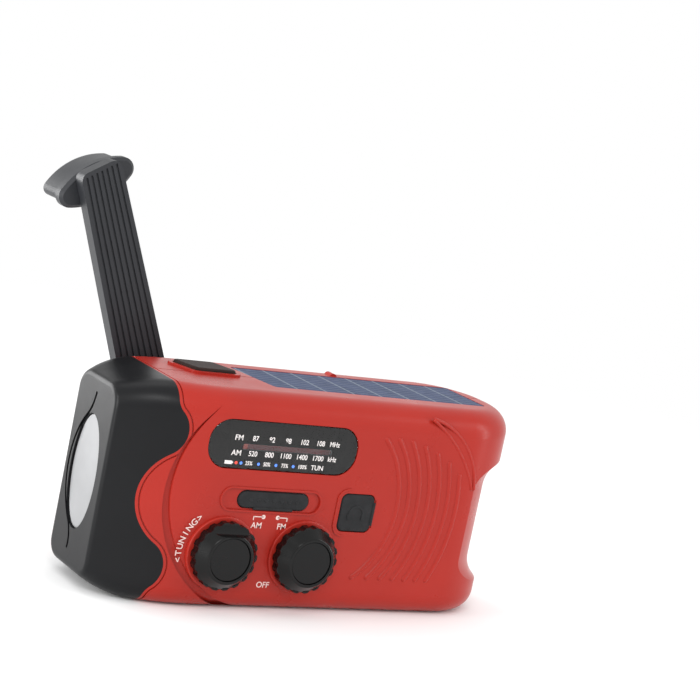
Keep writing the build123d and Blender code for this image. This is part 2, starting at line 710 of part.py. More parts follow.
def lamp_button():
    stem = rod_z(button_x, button_y, height - stem_len, height - 1, stem_r)
    flange = Pos(0, 0, height - wall - 0.75) * extrude(button_face(0.9), 0.7)
    pad = Pos(0, 0, height - 2 * wall - 0.5) * extrude(button_face(), 2 * wall + 0.5 + button_proud)
    upper = pad.edges().filter_by(lambda e: abs(e.center().Z - height - button_proud) < 0.01)
    pad = fillet(upper, 0.6)
    return pad + flange + stem


def switch_top():
    """Height of the switch's case, so far below the stem that a full press just meets its plunger."""
    return height - stem_len - button_travel - 0.2


def lamp_switch():
    top = switch_top()
    body = Pos(button_x, button_y, top - switch_t) * Box(switch_w, switch_w, switch_t, align=low)
    return body + rod_z(button_x, button_y, top - 0.2, top + 0.1, 1.6)


def switch_board():
    top = switch_top() - switch_t
    return box(button_x - 7, button_x + 7, button_y - 5, button_y + 5, top - 1.2, top)


def solar():
    cell_z = height - sun_depth
    cell = Pos(0, 0, cell_z) * extrude(sun_face(), cell_t)
    cover = Pos(0, 0, cell_z + cell_t) * extrude(sun_face(), sun_depth - cell_t - 0.1)
    return cell, cover


# ---------------------------------------------------------------- boards and power

def main_board():
    board = box(board_x0, board_x1, board_y, board_y + board_t, board_z0, board_z1)
    board = fillet(board.edges().filter_by(Axis.Y), 1.5)
    for x, z in board_screw_places():
        board -= rod_y(x, board_y - 1, board_y + 3, z, 1.2)
    for x, z in boss_places():
        board -= rod_y(x, board_y - 1, board_y + 3, z, post_clear - 0.1)
    return board


def board_screw_places():
    return [(-44.0, 32.0), (15.5, 39.5), (15.5, 13.0)]


def board_screws():
    screws = []
    for x, z in board_screw_places():
        y0 = board_y + board_t
        shank = rod_y(x, y0 - board_screw_len, y0, z, screw_r)
        screws.append(shank + rod_y(x, y0, y0 + board_head_t, z, board_head_r))
    return Compound(children=screws)


def board_chips():
    y0 = board_y + board_t
    chips = [box(-13, -5, y0, y0 + 1.6, 24, 31), box(6, 12, y0, y0 + 1.4, 31, 37),
             box(4, 9, y0, y0 + 1.2, 19, 23)]
    chips += [rod_y(-24 + 4.6 * i, y0, y0 + 2.0, 39.0, 1.9) for i in range(3)]
    return Compound(children=chips)


def charge_leds():
    plate_back = dial_levels()[0]
    return Compound(children=[rod_y(x, plate_back + 0.1, board_y, 40.95, 0.5)
                              for x in (-34.4, -32.4, -25.0, -17.0, -9.0)])


def battery():
    x0, x1 = cell_x - cell_len / 2, cell_x + cell_len / 2
    cell = rod_x(x0, x1 - 1.5, 0, cell_z, cell_r)
    cell = fillet(cell.edges().filter_by(GeomType.CIRCLE), 0.6)
    cell += rod_x(x1 - 1.6, x1, 0, cell_z, 2.6)
    plates = []
    for x in (x0 - clip_t, x1):
        plates.append(box(x, x + clip_t, -clip_half, clip_half, cell_z - clip_half, cell_z + 5))
    return cell, Compound(children=plates)


def battery_door_parts(door):
    door = fillet(door.edges().filter_by(Axis.Z), 1.0)
    door = door - finger_grooves()
    x = door_x1 - door_screw_in
    door -= rod_z(x, 0, -1, door_t + 1, 1.1)
    door -= rod_z(x, 0, -1, 0.7, 1.9)
    screw = rod_z(x, 0, 0.7, door_t + 2.0, 1.0) + rod_z(x, 0, 0.15, 0.7, 1.8)
    screw -= box(x - 1.3, x + 1.3, -0.2, 0.2, 0, 0.4)
    return door, screw


def finger_grooves():
    """Four short grooves near the door's head end, to push it open with a finger."""
    cuts = [box(door_x0 + x, door_x0 + x + 0.8, -5, 5, -1, 0.4) for x in (3, 5, 7, 9)]
    return Compound(children=cuts)


def speaker():
    y1 = back - wall - 0.2
    y0 = y1 - speaker_t

    def funnel(y, r_in, r_out, tall):
        return Pos(speaker_x, y, speaker_z) * Rot(-90, 0, 0) * Cone(r_in, r_out, tall, align=low)

    frame = ring_y(speaker_x, y1 - 1.2, y1, speaker_z, speaker_r, 12.8)
    basket, hollow = funnel(y0, 8.6, 13.6, speaker_t - 1.2), funnel(y0 + 0.8, 7.8, 12.8, speaker_t - 1.2)
    cone, inner = funnel(y0 + 1.6, 3.6, 12.2, speaker_t - 2.6), funnel(y0 + 2.1, 3.6, 12.2, speaker_t - 2.6)
    dust = rod_y(speaker_x, y0 + 1.6, y0 + 2.6, speaker_z, 3.8)
    magnet = rod_y(speaker_x, y0 - magnet_t, y0, speaker_z, magnet_r)
    magnet = fillet(magnet.edges().filter_by(GeomType.CIRCLE).sort_by(Axis.Y)[0], 0.5)
    return frame + (basket - hollow) + magnet, (cone - inner) + dust


def ferrite():
    bar = rod_x(ferrite_x0, ferrite_x1, 0, ferrite_z, ferrite_r)
    x0, x1 = ferrite_x0 + coil_in, ferrite_x0 + coil_in + coil_len
    coil = rod_x(x0, x1, 0, ferrite_z, ferrite_r + coil_t) - rod_x(x0 - 1, x1 + 1, 0, ferrite_z, ferrite_r)
    return bar, coil


# ---------------------------------------------------------------- gears

def gear_face(teeth, phase):
    """Involute gear outline round the origin, one tooth centred at the phase angle."""
    m, pressure = tooth_module, radians(pressure_angle)
    pitch = m * teeth / 2
    base, tip, root = pitch * cos(pressure), pitch + 0.9 * m, pitch - 1.2 * m
    half = radians(90 / teeth) - backlash / 2 / pitch

    def flank(r, side):
        phi = acos(min(1.0, base / r))
        angle = half + (tan(pressure) - pressure) - (tan(phi) - phi)
        return (r * cos(side * angle), r * sin(side * angle))

    start = max(base, root)
    middle = (start + tip) / 2
    foot_angle = asin(flank(start, 1)[1] / start)
    foot_r = root - 0.2
    feet = [(foot_r * cos(s * foot_angle), foot_r * sin(s * foot_angle)) for s in (-1, 1)]
    tooth = make_face([
        Line(feet[0], flank(start, -1)),
        ThreePointArc(flank(start, -1), flank(middle, -1), flank(tip, -1)),
        ThreePointArc(flank(tip, -1), (tip, 0), flank(tip, 1)),
        ThreePointArc(flank(tip, 1), flank(middle, 1), flank(start, 1)),
        Line(flank(start, 1), feet[1]),
        Line(feet[1], feet[0]),
    ])
    wheel = Circle(root) + [Rot(0, 0, phase + 360 / teeth * i) * tooth for i in range(teeth)]
    return wheel


def gear(x, z, teeth, phase, y0, thick, bore):
    face = gear_face(teeth, phase)
    if bore:
        face = face - Circle(bore)
    return along_y(at(x, z, face), y0, y0 + thick)


def polar(x, z, r, angle):
    return x + r * cos(radians(angle)), z + r * sin(radians(angle))


def gear_places():
    step = polar(crank_x, crank_z, tooth_module * (crank_teeth + pinion_teeth) / 2, step_angle)
    rotor = polar(*step, tooth_module * (step_teeth + pinion_teeth) / 2, rotor_angle)
    return step, rotor


def gear_train():
    (sx, sz), (rx, rz) = gear_places()
    crank = gear(crank_x, crank_z, crank_teeth, step_angle, crank_gear_y, gear_t, crank_shaft_r)
    crank -= along_y(spokes(crank_x, crank_z, 5.5, 12.0), crank_gear_y - 1, crank_gear_y + gear_t + 1)
    step = gear(sx, sz, step_teeth, rotor_angle, step_gear_y, gear_t, 1.05)
    step -= along_y(spokes(sx, sz, 5.0, 9.5), step_gear_y - 1, step_gear_y + gear_t + 1)
    step += gear(sx, sz, pinion_teeth, step_angle + 180 + 180 / pinion_teeth,
                 step_gear_y + gear_t, crank_gear_y - step_gear_y + 0.2, 1.05)
    rotor = rod_y(rx, rotor_case_y0 + 1.4, rotor_case_y1 - 1.4, rz, 5.6)
    rotor += rod_y(rx, rotor_case_y0 + 0.4, step_gear_y - 0.3, rz, 1.0)
    mesh_angle = 180 + 180 / pinion_teeth
    rotor += gear(rx, rz, pinion_teeth, rotor_angle + mesh_angle, step_gear_y - 0.3, gear_t + 0.6, 0)
    pin = rod_y(sx, 5.8, 15.2, sz, 1.0)
    return crank, step, rotor, pin


def spokes(x, z, r_in, r_out):
    hole = at((r_in + r_out) / 2, 0, Circle((r_out - r_in) / 2 - 0.4))
    ring = hole
    for i in range(1, 6):
        ring += Rot(0, 0, 60 * i) * hole
    return at(x, z, ring)


def generator():
    _, (rx, rz) = gear_places()
    case = rod_y(rx, rotor_case_y0, rotor_case_y1, rz, rotor_case_r)
    case = fillet(case.edges().filter_by(GeomType.CIRCLE).sort_by(Axis.Y)[0], 1.0)
    case -= rod_y(rx, rotor_case_y0 + 1, rotor_case_y1 - 1, rz, rotor_case_r - 0.8)
    case -= rod_y(rx, rotor_case_y0 + 0.3, rotor_case_y1 + 1, rz, 1.05)
    coil = ring_y(rx, rotor_case_y0 + 1.2, rotor_case_y1 - 1.2, rz, rotor_case_r - 1.0, 6.4)
    return case, coil


def gearbox_frame():
    """Two plates with the gears between them, joined by three posts."""
    (sx, sz), (rx, rz) = gear_places()
    outline = box_sketch(-54.5, -13.0, 6.0, 44.0)
    outline = fillet(outline.vertices(), 4)
    near = along_y(outline, rotor_case_y1, rotor_case_y1 + 1.0)
    near -= rod_y(rx, 0, 10, rz, 4.4)
    near -= rod_y(sx, 0, 10, sz, 1.0)
    near -= along_y(at(crank_x, crank_z, Circle(crank_shaft_r + 1.0)), 0, 10)
    far_face = box_sketch(-53, -13.0, 8.0, 44.0)
    far = along_y(fillet(far_face.vertices(), 4), far_plate_y0, far_plate_y1)
    far -= rod_y(sx, 10, 20, sz, 1.0)
    far -= rod_y(crank_x, 10, 20, crank_z, crank_shaft_r + 1.5)
    for x, z in boss_places():
        near -= rod_y(x, 0, 10, z, post_clear)
        far -= rod_y(x, 10, 20, z, post_clear)
    frame = near + far
    for x, z in ((-16.0, 13.0), (-17.0, 43.0), (-52.0, 33.5)):
        post = rod_y(x, rotor_case_y1, far_plate_y1, z, 1.6)
        frame += post & box(-60, 0, 0, 20, 8, 43.9)
    return frame


# ---------------------------------------------------------------- crank

def lean(part):
    """Turn a part built pointing straight up from the crank's axis to the resting lean."""
    return part.rotate(Axis((crank_x, 0, crank_z), (0, -1, 0)), crank_lean)


def arm_outline(r0, r1, w0, w1):
    slant = arm_w1 / 2 * tan(radians(arm_tip_slant))
    corners = (-w0 / 2, r0), (w0 / 2, r0), (w1 / 2, r1 + slant), (-w1 / 2, r1 - slant)
    return at(crank_x, crank_z, Polygon(*corners, align=None))


def crank_arm():
    y0, y1 = arm_y - arm_t / 2, arm_y + arm_t / 2
    blade = along_y(fillet(arm_outline(4.4, arm_len, arm_w0, arm_w1).vertices(), 2.6), y0, y1)
    knuckle = box(crank_x - knuckle_w / 2, crank_x + knuckle_w / 2, y0, y1, crank_z, crank_z + 8)
    knuckle += rod_x(crank_x - knuckle_w / 2, crank_x + knuckle_w / 2, arm_y, crank_z, arm_t / 2)
    arm = blade + knuckle
    arm -= rod_x(crank_x - 9, crank_x + 9, arm_y, crank_z, hinge_pin_r + bearing_gap)
    for i in range(arm_grooves):
        share = (i + 1) / (arm_grooves + 1) - 0.5
        root_x, tip_x = arm_w0 * share, arm_w1 * share
        tip_z = arm_len - 1.2 + tip_x * tan(radians(arm_tip_slant))
        groove = Polygon((root_x - groove_half, 11), (root_x + groove_half, 11),
                         (tip_x + groove_half, tip_z), (tip_x - groove_half, tip_z), align=None)
        arm -= along_y(at(crank_x, crank_z, groove), y0 - 1, y0 + groove_depth)
    arm -= rod_y(crank_x, y0 + axle_skin, y1 + 1, crank_z + grip_at, 2.0)
    return lean(arm)


def crank_hub():
    disc = rod_y(crank_x, back - hub_t, back, crank_z, hub_r)
    disc = fillet(disc.edges().filter_by(GeomType.CIRCLE).sort_by(Axis.Y)[-1], 0.5)
    hub = disc + rod_y(crank_x, crank_gear_y - 0.2, back - 1, crank_z, crank_shaft_r)
    for side in (-1, 1):
        x = crank_x + side * (knuckle_w / 2 + 0.2 + ear_t / 2)
        ear = box(x - ear_t / 2, x + ear_t / 2, back - 0.3, arm_y, crank_z - ear_r, crank_z + ear_r)
        ear += rod_x(x - ear_t / 2, x + ear_t / 2, arm_y, crank_z, ear_r)
        hub += ear
    hub -= rod_x(crank_x - 12, crank_x + 12, arm_y, crank_z, hinge_pin_r)
    return lean(hub)


def hinge_pin():
    half = knuckle_w / 2 + 0.2 + ear_t
    return lean(rod_x(crank_x - half, crank_x + half, arm_y, crank_z, hinge_pin_r))


def crank_bearing():
    y0, y1 = far_plate_y0 + 0.2, back - hub_t - fit - 0.1
    return ring_y(crank_x, y0, y1, crank_z, crank_shaft_r + 1.45, crank_shaft_r + bearing_gap)


def grip_face(grow):
    """The grip's section, an oval of two arcs with rounded ends."""
    half_w, half_h = grip_w / 2 + 1.6, grip_h / 2
    oval = make_face([ThreePointArc((-half_w, 0), (0, half_h), (half_w, 0)),
                      ThreePointArc((half_w, 0), (0, -half_h), (-half_w, 0))])
    oval = fillet(oval.vertices(), grip_end_r)
    return offset(oval, grow) if grow else oval


def grip_body():
    """The paddle-shaped grip, built round the crank's axis and then moved out along the arm."""
    y0 = arm_y + arm_t / 2 + 0.3
    flange = along_y(grip_face(0), y0, y0 + 3.4)
    flange = chamfer(flange.edges().filter_by(lambda e: abs(e.center().Y - y0) < 0.01), 0.9)
    barrel = along_y(grip_face(-1.1), y0 + 3.2, y0 + grip_len)
    barrel = fillet(barrel.edges().filter_by(lambda e: abs(e.center().Y - y0 - grip_len) < 0.01), 1.2)
    grip = flange + barrel - rod_y(0, y0 - 1, y0 + 12, 0, 2.0 + bearing_gap)
    grip -= rod_y(0, y0 + 11.6, y0 + 13.4, 0, 3.2)
    gx, gz = polar(crank_x, crank_z, grip_at, 90 + crank_lean)
    return Pos(gx, 0, gz) * Rot(0, -grip_tilt, 0) * grip


def grip_axle():
    y0 = arm_y - arm_t / 2
    gx, gz = polar(crank_x, crank_z, grip_at, 90 + crank_lean)
    axle = rod_y(gx, y0 + axle_skin, arm_y + arm_t / 2 + 0.3 + 12.4, gz, 2.0)
    tip = rod_y(gx, arm_y + arm_t / 2 + 0.3 + 11.75, arm_y + arm_t / 2 + 0.3 + 13.0, gz, 3.0)
    return axle + tip


# ---------------------------------------------------------------- aerial

def aerial():
    x, y, z = aerial_x, aerial_y, aerial_z
    inside, outside = channel_y + 0.2, back - 0.1
    bracket = box(x - 3.2, x + 3.2, inside, outside, channel_z, channel_z + 1.0)
    for y0, y1 in ((inside, inside + 1.0), (outside - 0.9, outside)):
        bracket += box(x - 3.2, x + 3.2, y0, y1, channel_z, z) + rod_y(x, y0, y1, z, 3.2)
    bracket += rod_y(x, inside, outside, z, aerial_pin_r)
    knuckle = rod_y(x, channel_y + 1.35, back - 1.15, z, 2.9)
    sleeve = rod_x(x - aerial_len + 2.5, x - 4.2, y, z, aerial_r1) + rod_x(x - 5, x, y, z, 1.5)
    base = knuckle + sleeve - rod_y(x, 0, depth, z, aerial_pin_r + bearing_gap)
    base -= rod_x(x - aerial_len, x - 6, y, z, aerial_r2 + bearing_gap)
    middle = rod_x(x - aerial_len + 1.0, x - 8, y, z, aerial_r2)
    middle -= rod_x(x - aerial_len, x - 12, y, z, aerial_r3 + bearing_gap)
    inner = rod_x(x - aerial_len + 0.5, x - 14, y, z, aerial_r3)
    inner += rod_x(x - aerial_len - 2.5, x - aerial_len + 0.8, y, z, aerial_r1)
    return bracket, base, middle, inner


# ---------------------------------------------------------------- screws

def case_screws():
    screws = []
    for x, z in boss_places():
        seat = back - screw_sunk
        screws.append(rod_y(x, -6, seat, z, screw_r) + rod_y(x, seat, seat + screw_head_t, z, screw_head_r))
    return Compound(children=screws)


# ---------------------------------------------------------------- assembly

def all_parts():
    parts = {}
    cap, fshell, rshell, door = casings()
    parts.update(head_cap=cap, front_shell=fshell, rear_shell=rshell)
    parts["battery_door"], parts["battery_door_screw"] = battery_door_parts(door)
    lens, reflector, leds, board = torch()
    parts.update(torch_lens=lens, torch_reflector=reflector, torch_leds=leds, torch_board=board)
    parts["dial_window"], parts["dial_plate"], parts["dial_backing"] = dial()
    parts["dial_cord"], parts["dial_needle"] = dial_drive()
    parts["cord_posts"] = cord_posts()
    parts["tuning_knob"], parts["tuning_knob_cap"] = knob(tune_x, True)
    parts["volume_knob"], parts["volume_knob_cap"] = knob(vol_x, False)
    parts["tuning_shaft"] = control_shaft(tune_x) + tuning_drum()
    parts["volume_shaft"] = control_shaft(vol_x)
    parts["tuning_capacitor"] = tuning_capacitor()
    parts["volume_pot"] = volume_pot()
    parts["usb_socket"] = usb_socket(usb_x, usb_w, usb_h)
    parts["micro_usb_socket"] = usb_socket(micro_x, micro_w, micro_h)
    parts["earphone_jack"] = earphone_jack()
    parts["usb_cover"] = pill_cover()
    parts["earphone_cover"] = square_cover()
    parts["light_button"] = lamp_button()
    parts["lamp_switch"] = Compound(children=[lamp_switch(), switch_board()])
    parts["solar_cell"], parts["solar_cover"] = solar()
    parts["main_board"] = main_board()
    parts["board_screws"] = board_screws()
    parts["board_chips"] = board_chips()
    parts["charge_leds"] = charge_leds()
    parts["battery_cell"], parts["battery_clips"] = battery()
    parts["speaker_frame"], parts["speaker_cone"] = speaker()
    parts["ferrite_rod"], parts["ferrite_coil"] = ferrite()
    parts["crank_gear"], parts["step_gear"], parts["rotor"], parts["step_gear_pin"] = gear_train()
    parts["generator_case"], parts["stator_coil"] = generator()
    parts["gearbox_frame"] = gearbox_frame()
    parts["crank_hub"], parts["crank_arm"] = crank_hub(), crank_arm()
    parts["crank_hinge_pin"], parts["crank_bearing"] = hinge_pin(), crank_bearing()
    parts["crank_grip"], parts["grip_axle"] = grip_body(), grip_axle()
    names = ("aerial_bracket", "aerial_base", "aerial_middle", "aerial_tip")
    parts.update(zip(names, aerial()))
    parts["case_screws"] = case_screws()
    return parts


os.makedirs("parts", exist_ok=True)
for name, shape in all_parts().items():
    export_step(shape, f"parts/{name}.step")
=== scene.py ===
import json
import math

import bpy
from mathutils import Matrix, Vector

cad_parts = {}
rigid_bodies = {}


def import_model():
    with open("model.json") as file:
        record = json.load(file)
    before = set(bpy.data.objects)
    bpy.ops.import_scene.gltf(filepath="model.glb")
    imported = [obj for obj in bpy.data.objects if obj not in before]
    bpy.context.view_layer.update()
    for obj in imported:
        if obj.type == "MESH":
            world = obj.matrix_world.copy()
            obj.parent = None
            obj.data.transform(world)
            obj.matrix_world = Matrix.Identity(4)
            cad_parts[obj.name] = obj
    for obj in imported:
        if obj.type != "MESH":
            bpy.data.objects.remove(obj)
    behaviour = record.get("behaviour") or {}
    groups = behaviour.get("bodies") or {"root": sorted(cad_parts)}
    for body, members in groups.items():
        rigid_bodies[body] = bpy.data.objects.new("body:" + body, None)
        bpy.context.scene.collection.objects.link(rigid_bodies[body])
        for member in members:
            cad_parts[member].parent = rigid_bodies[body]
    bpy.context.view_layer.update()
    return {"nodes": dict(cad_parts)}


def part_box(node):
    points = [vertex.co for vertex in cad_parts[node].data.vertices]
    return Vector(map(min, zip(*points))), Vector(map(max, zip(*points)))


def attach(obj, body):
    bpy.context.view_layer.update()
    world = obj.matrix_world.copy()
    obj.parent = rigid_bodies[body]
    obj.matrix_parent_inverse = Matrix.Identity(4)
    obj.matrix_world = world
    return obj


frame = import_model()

MM = 0.001
scene = bpy.context.scene
scene.view_settings.view_transform = "Standard"

# Camera: where it aims, how far off it stands and how it is turned.
AIM = Vector((10.8, 0.0, 70.5)) * MM
DISTANCE = 607.0 * MM
AZIMUTH, ELEVATION, ROLL = -32.37, 8.9, 11.65
LENS = 110.9
FLOOR_R = 0.6

RED = (0.35, 0.02, 0.0125)
BLACK = (0.0055, 0.0057, 0.0066)
INK = (0.86, 0.82, 0.8)


# ------------------------------------------------------------ materials

class Nodes:
    """A material's node tree with short ways to add and join nodes."""

    def __init__(self, name):
        self.material = bpy.data.materials.new(name)
        self.material.use_nodes = True
        self.tree = self.material.node_tree
        self.shader = self.tree.nodes["Principled BSDF"]
        self.place = self.add("ShaderNodeTexCoord").outputs["Object"]

    def add(self, kind, **inputs):
        node = self.tree.nodes.new(kind)
        for key, value in inputs.items():
            node.inputs[key.replace("_", " ")].default_value = value
        return node

    def join(self, source, target):
        self.tree.links.new(source, target)

    def noise(self, scale, detail=3.0, rough=0.55, stretch=None):
        node = self.add("ShaderNodeTexNoise", Scale=scale, Detail=detail, Roughness=rough)
        source = self.place
        if stretch:
            mapping = self.add("ShaderNodeMapping")
            mapping.inputs["Scale"].default_value = stretch
            self.join(source, mapping.inputs["Vector"])
            source = mapping.outputs[0]
        self.join(source, node.inputs["Vector"])
        return node.outputs["Fac"]

    def spread(self, source, lo, hi, to_lo, to_hi):
        node = self.add("ShaderNodeMapRange")
        for slot, value in zip((1, 2, 3, 4), (lo, hi, to_lo, to_hi)):
            node.inputs[slot].default_value = value
        self.join(source, node.inputs[0])
        return node.outputs[0]

    def ramp(self, source, *stops):
        node = self.add("ShaderNodeValToRGB")
        ramp = node.color_ramp
        while len(ramp.elements) < len(stops):
            ramp.elements.new(0.5)
        for element, (where, colour) in zip(ramp.elements, stops):
            element.position, element.color = where, (*colour, 1)
        self.join(source, node.inputs[0])
        return node.outputs[0]

    def maximum(self, a, b):
        node = self.add("ShaderNodeMath")
        node.operation = "MAXIMUM"
        self.join(a, node.inputs[0])
        self.join(b, node.inputs[1])
        return node.outputs[0]

    def bump(self, height, strength, distance, base=None):
        node = self.add("ShaderNodeBump", Strength=strength, Distance=distance)
        self.join(height, node.inputs["Height"])
        if base:
            self.join(base, node.inputs["Normal"])
        return node.outputs[0]

    def set(self, **values):
        for key, value in values.items():
            self.shader.inputs[key.replace("_", " ")].default_value = value


def shade(colour, factor):
    return tuple(min(1.0, c * factor) for c in colour)


def plastic(name, colour, rough=0.4, grain=900.0, depth=0.00002, mottle=0.12, coat=0.0, gloss=0.5):
    """Moulded plastic: fine spark-eroded grain, faint flow mottling and finger polish."""
    n = Nodes(name)
    cloud = n.noise(38.0, 4.0)
    n.join(n.ramp(cloud, (0.3, shade(colour, 1 - mottle)), (0.7, shade(colour, 1 + mottle))),
           n.shader.inputs["Base Color"])
    polish = n.noise(90.0, 5.0, 0.6)
    n.join(n.spread(polish, 0.3, 0.75, rough * 0.86, rough * 1.15), n.shader.inputs["Roughness"])
    n.join(n.bump(n.noise(grain, 2.0), 0.25, depth), n.shader.inputs["Normal"])
    n.set(Coat_Weight=coat, Coat_Roughness=0.2, Specular_IOR_Level=gloss)
    return n.material


def rubber(name, colour, rough=0.75, gloss=0.2):
    """Soft rubber with a dry, finely pitted skin and a little dust in it."""
    n = Nodes(name)
    dust = n.noise(260.0, 6.0, 0.7)
    n.join(n.ramp(dust, (0.35, colour), (0.8, shade(colour, 1.9))), n.shader.inputs["Base Color"])
    n.join(n.bump(n.noise(2600.0, 3.0, 0.6), 0.5, 0.00004), n.shader.inputs["Normal"])
    n.set(Roughness=rough, Sheen_Weight=0.04, Sheen_Roughness=0.5, Specular_IOR_Level=gloss)
    return n.material


def metal(name, colour, rough=0.3, brush=(40, 40, 1200), depth=0.000005):
    """Drawn or plated metal with fine lines along it and a slight tarnish."""
    n = Nodes(name)
    lines = n.noise(1.0, 3.0, 0.6, stretch=brush)
    tarnish = n.noise(70.0, 4.0)
    n.join(n.ramp(tarnish, (0.3, shade(colour, 0.82)), (0.7, shade(colour, 1.06))), n.shader.inputs["Base Color"])
    n.join(n.spread(lines, 0.3, 0.7, rough * 0.7, rough * 1.3), n.shader.inputs["Roughness"])
    n.join(n.bump(lines, 0.3, depth), n.shader.inputs["Normal"])
    n.set(Metallic=1.0)
    return n.material


def clear(name, tint=(1, 1, 1), rough=0.02, scratch=0.04, gloss=0.5):
    """Clear moulded plastic with faint hairline scratches in its polish."""
    n = Nodes(name)
    hair = n.noise(1.0, 6.0, 0.7, stretch=(4000, 4000, 60))
    n.join(n.spread(hair, 0.55, 0.8, rough, rough + scratch), n.shader.inputs["Roughness"])
    n.set(Base_Color=(*tint, 1), Transmission_Weight=1.0, IOR=1.49, Specular_IOR_Level=gloss)
    return n.material


def frosted(name):
    """Milky lens plastic: white, slightly cloudy, the LEDs behind it only soft shapes."""
    n = Nodes(name)
    cloud = n.noise(60.0, 4.0)
    n.join(n.ramp(cloud, (0.3, (0.36, 0.364, 0.374)), (0.7, (0.42, 0.424, 0.434))), n.shader.inputs["Base Color"])
    n.join(n.spread(n.noise(300.0, 4.0), 0.3, 0.7, 0.34, 0.44), n.shader.inputs["Roughness"])
    n.join(n.bump(n.noise(1100.0, 2.0), 0.15, 0.00002), n.shader.inputs["Normal"])
    n.set(Transmission_Weight=0.34, IOR=1.42, Coat_Weight=0.15, Coat_Roughness=0.12)
    return n.material


def solar_material():
    """Dark blue-grey cells crossed by thin silver fingers, with wider bars between the cells."""
    n = Nodes("solar_wafer")
    split = n.add("ShaderNodeSeparateXYZ")
    n.join(n.place, split.inputs[0])

    def stripes(axis, pitch, width):
        wave = n.add("ShaderNodeMath")
        wave.operation = "PINGPONG"
        n.join(split.outputs[axis], wave.inputs[0])
        wave.inputs[1].default_value = pitch / 2
        return n.spread(wave.outputs[0], width / 2, width / 2 + 0.00008, 1.0, 0.0)

    crystal = n.add("ShaderNodeTexVoronoi", Scale=420.0)
    n.join(n.place, crystal.inputs["Vector"])
    base = n.ramp(crystal.outputs["Color"], (0.0, (0.028, 0.042, 0.095)), (1.0, (0.055, 0.075, 0.15)))
    lines = n.maximum(stripes("X", 0.0092, 0.0007), stripes("Y", 0.0024, 0.00022))
    mix = n.add("ShaderNodeMix")
    mix.data_type = "RGBA"
    n.join(lines, mix.inputs["Factor"])
    n.join(base, mix.inputs["A"])
    mix.inputs["B"].default_value = (0.12, 0.15, 0.2, 1)
    n.join(mix.outputs["Result"], n.shader.inputs["Base Color"])
    n.join(n.spread(lines, 0, 1, 0.5, 0.35), n.shader.inputs["Roughness"])
    n.join(n.bump(lines, 0.3, 0.00003), n.shader.inputs["Normal"])
    n.set(Specular_IOR_Level=0.06)
    return n.material


def windings(name, colour, pitch, axis):
    """Enamelled wire wound side by side along an axis."""
    n = Nodes(name)
    wave = n.add("ShaderNodeTexWave", Scale=1 / pitch / 6.283, Distortion=0.4)
    wave.bands_direction = axis
    n.join(n.place, wave.inputs["Vector"])
    # Colour: the troughs of the wave darken to 0.4 of the wire colour, painted shade in the grooves between
    # neighbouring turns.
    n.join(n.ramp(wave.outputs["Fac"], (0.0, shade(colour, 0.4)), (0.6, colour)), n.shader.inputs["Base Color"])
    n.join(n.bump(wave.outputs["Fac"], 0.8, 0.0001), n.shader.inputs["Normal"])
    n.set(Metallic=0.8, Roughness=0.35)
    return n.material


def glow(name, colour, strength):
    n = Nodes(name)
    n.set(Base_Color=(*colour, 1), Emission_Color=(*colour, 1), Emission_Strength=strength, Roughness=0.2)
    n.join(n.bump(n.noise(1500.0), 0.1, 0.00001), n.shader.inputs["Normal"])
    return n.material


def ink(name, colour, rough=0.5):
    """Pad-printed ink, a little uneven."""
    n = Nodes(name)
    n.join(n.ramp(n.noise(900.0, 3.0), (0.3, shade(colour, 0.86)), (0.7, colour)), n.shader.inputs["Base Color"])
    n.set(Roughness=rough)
    return n.material


def dress(material, *names):
    for name in names:
        node = frame["nodes"][name]
        node.data.materials.clear()
        node.data.materials.append(material)


